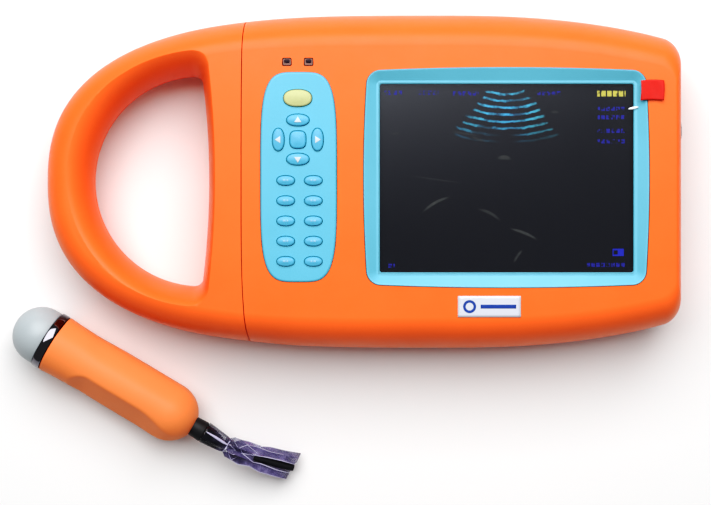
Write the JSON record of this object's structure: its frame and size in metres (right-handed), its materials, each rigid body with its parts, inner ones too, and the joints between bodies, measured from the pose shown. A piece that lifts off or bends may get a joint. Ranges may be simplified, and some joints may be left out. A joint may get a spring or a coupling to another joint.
{
  "type": "veterinary ultrasound scanner",
  "caption": "Portable ultrasound scanner: flat casing with a D handle, colour screen and key panel, and a cylindrical hand probe with a domed tip.",
  "frame": {"origin": "on the flat back of the casing, at the centre of the main casing between its seam with the handle and its right-hand end", "axes": "+Z out of the screen, +X from the D handle to the right-hand end, +Y to the top edge of the screen"},
  "size_m": [0.3192, 0.2243, 0.0461],
  "materials": {
    "orange_abs": "satin moulded ABS with a fine grain",
    "cyan_abs": "satin moulded ABS",
    "cyan_rubber": "silicone rubber key",
    "yellow_rubber": "silicone rubber key",
    "clear_acrylic": "clear plastic sheet",
    "lcd_black": "dark liquid crystal screen",
    "red_film": "self-adhesive red film",
    "white_label": "printed label",
    "lamp_lens": "smoked indicator lens",
    "circuit_board": "solder mask over fibreglass",
    "steel": "zinc-plated steel",
    "chrome": "bright plating",
    "battery_wrap": "shrink wrap",
    "black_plastic": "moulded plastic",
    "black_rubber": "soft rubber",
    "dome_plastic": "translucent polymer",
    "ceramic_element": "piezo ceramic disc",
    "copper_coil": "enamelled copper winding",
    "violet_film": "thin clear packing film"
  },
  "bodies": {
    "casing": {"front_cover": "orange_abs", "rear_cover": "orange_abs", "handle_front_half": "orange_abs", "handle_rear_half": "orange_abs", "screen_bezel": "cyan_abs", "keypad_panel": "cyan_abs", "display_window": "clear_acrylic", "screen_film": "clear_acrylic", "lcd_panel": "lcd_black", "lcd_bracket": "steel", "film_pull_tab": "red_film", "nameplate": "white_label", "power_lamp": "lamp_lens", "charge_lamp": "lamp_lens", "main_board": "circuit_board", "keypad_board": "circuit_board", "battery_pack": "battery_wrap", "probe_socket": "chrome", "charging_jack": "black_plastic", "handle_bolt_upper": "steel", "handle_bolt_lower": "steel", "cover_screw_upper_left": "steel", "cover_screw_lower_left": "steel", "cover_screw_upper_right": "steel", "cover_screw_lower_right": "steel", "handle_screw_upper": "steel", "handle_screw_lower": "steel", "handle_screw_end": "steel"},
    "probe": {"probe_grip": "orange_abs", "probe_ring": "chrome", "probe_dome": "dome_plastic", "dome_seal": "black_rubber", "strain_relief": "black_rubber", "probe_cable": "black_rubber", "cable_wrap": "violet_film", "probe_chassis": "steel", "drive_coil": "copper_coil"},
    "transducer": {"transducer_rocker": "black_plastic", "transducer_element": "ceramic_element", "drive_magnet": "steel", "rocker_axle": "steel"},
    "battery_door": {"battery_door": "orange_abs"},
    "port_flap": {"port_flap": "black_rubber"},
    "key_power": {"key_power": "yellow_rubber"},
    "key_up": {"key_up": "cyan_rubber"},
    "key_down": {"key_down": "cyan_rubber"},
    "key_left": {"key_left": "cyan_rubber"},
    "key_right": {"key_right": "cyan_rubber"},
    "key_centre": {"key_centre": "cyan_rubber"},
    "key_function_01": {"key_function_01": "cyan_rubber"},
    "key_function_02": {"key_function_02": "cyan_rubber"},
    "key_function_03": {"key_function_03": "cyan_rubber"},
    "key_function_04": {"key_function_04": "cyan_rubber"},
    "key_function_05": {"key_function_05": "cyan_rubber"},
    "key_function_06": {"key_function_06": "cyan_rubber"},
    "key_function_07": {"key_function_07": "cyan_rubber"},
    "key_function_08": {"key_function_08": "cyan_rubber"},
    "key_function_09": {"key_function_09": "cyan_rubber"},
    "key_function_10": {"key_function_10": "cyan_rubber"}
  },
  "joints": [
    {"name": "key_power_press", "type": "slide", "parent": "casing", "child": "key_power", "axis": [0, 0, -1], "range_m": [0, 0.001], "stiffness_N_per_m": 600, "springref_m": -0.0005},
    {"name": "key_up_press", "type": "slide", "parent": "casing", "child": "key_up", "axis": [0, 0, -1], "range_m": [0, 0.001], "stiffness_N_per_m": 600, "springref_m": -0.0005},
    {"name": "key_down_press", "type": "slide", "parent": "casing", "child": "key_down", "axis": [0, 0, -1], "range_m": [0, 0.001], "stiffness_N_per_m": 600, "springref_m": -0.0005},
    {"name": "key_left_press", "type": "slide", "parent": "casing", "child": "key_left", "axis": [0, 0, -1], "range_m": [0, 0.001], "stiffness_N_per_m": 600, "springref_m": -0.0005},
    {"name": "key_right_press", "type": "slide", "parent": "casing", "child": "key_right", "axis": [0, 0, -1], "range_m": [0, 0.001], "stiffness_N_per_m": 600, "springref_m": -0.0005},
    {"name": "key_centre_press", "type": "slide", "parent": "casing", "child": "key_centre", "axis": [0, 0, -1], "range_m": [0, 0.001], "stiffness_N_per_m": 600, "springref_m": -0.0005},
    {"name": "key_function_01_press", "type": "slide", "parent": "casing", "child": "key_function_01", "axis": [0, 0, -1], "range_m": [0, 0.001], "stiffness_N_per_m": 600, "springref_m": -0.0005},
    {"name": "key_function_02_press", "type": "slide", "parent": "casing", "child": "key_function_02", "axis": [0, 0, -1], "range_m": [0, 0.001], "stiffness_N_per_m": 600, "springref_m": -0.0005},
    {"name": "key_function_03_press", "type": "slide", "parent": "casing", "child": "key_function_03", "axis": [0, 0, -1], "range_m": [0, 0.001], "stiffness_N_per_m": 600, "springref_m": -0.0005},
    {"name": "key_function_04_press", "type": "slide", "parent": "casing", "child": "key_function_04", "axis": [0, 0, -1], "range_m": [0, 0.001], "stiffness_N_per_m": 600, "springref_m": -0.0005},
    {"name": "key_function_05_press", "type": "slide", "parent": "casing", "child": "key_function_05", "axis": [0, 0, -1], "range_m": [0, 0.001], "stiffness_N_per_m": 600, "springref_m": -0.0005},
    {"name": "key_function_06_press", "type": "slide", "parent": "casing", "child": "key_function_06", "axis": [0, 0, -1], "range_m": [0, 0.001], "stiffness_N_per_m": 600, "springref_m": -0.0005},
    {"name": "key_function_07_press", "type": "slide", "parent": "casing", "child": "key_function_07", "axis": [0, 0, -1], "range_m": [0, 0.001], "stiffness_N_per_m": 600, "springref_m": -0.0005},
    {"name": "key_function_08_press", "type": "slide", "parent": "casing", "child": "key_function_08", "axis": [0, 0, -1], "range_m": [0, 0.001], "stiffness_N_per_m": 600, "springref_m": -0.0005},
    {"name": "key_function_09_press", "type": "slide", "parent": "casing", "child": "key_function_09", "axis": [0, 0, -1], "range_m": [0, 0.001], "stiffness_N_per_m": 600, "springref_m": -0.0005},
    {"name": "key_function_10_press", "type": "slide", "parent": "casing", "child": "key_function_10", "axis": [0, 0, -1], "range_m": [0, 0.001], "stiffness_N_per_m": 600, "springref_m": -0.0005},
    {"name": "battery_door_hinge", "type": "hinge", "parent": "casing", "child": "battery_door", "pos_m": [0.021, 0, 0.0013], "axis": [0, 1, 0], "range_deg": [0, 110]},
    {"name": "port_flap_hinge", "type": "hinge", "parent": "casing", "child": "port_flap", "pos_m": [0.1021, -0.02, 0.0142], "axis": [0, 1, 0], "range_deg": [0, 110], "stiffness_Nm_per_rad": 0.002, "springref_deg": -5.73},
    {"name": "probe_lift", "type": "slide", "parent": "casing", "child": "probe", "axis": [0, 0, 1], "range_m": [0, 0.15]},
    {"name": "transducer_rock", "type": "hinge", "parent": "probe", "child": "transducer", "pos_m": [-0.20182, -0.07498, 0.0145], "axis": [0.512, 0.859, 0], "range_deg": [-40, 40]}
  ]
}
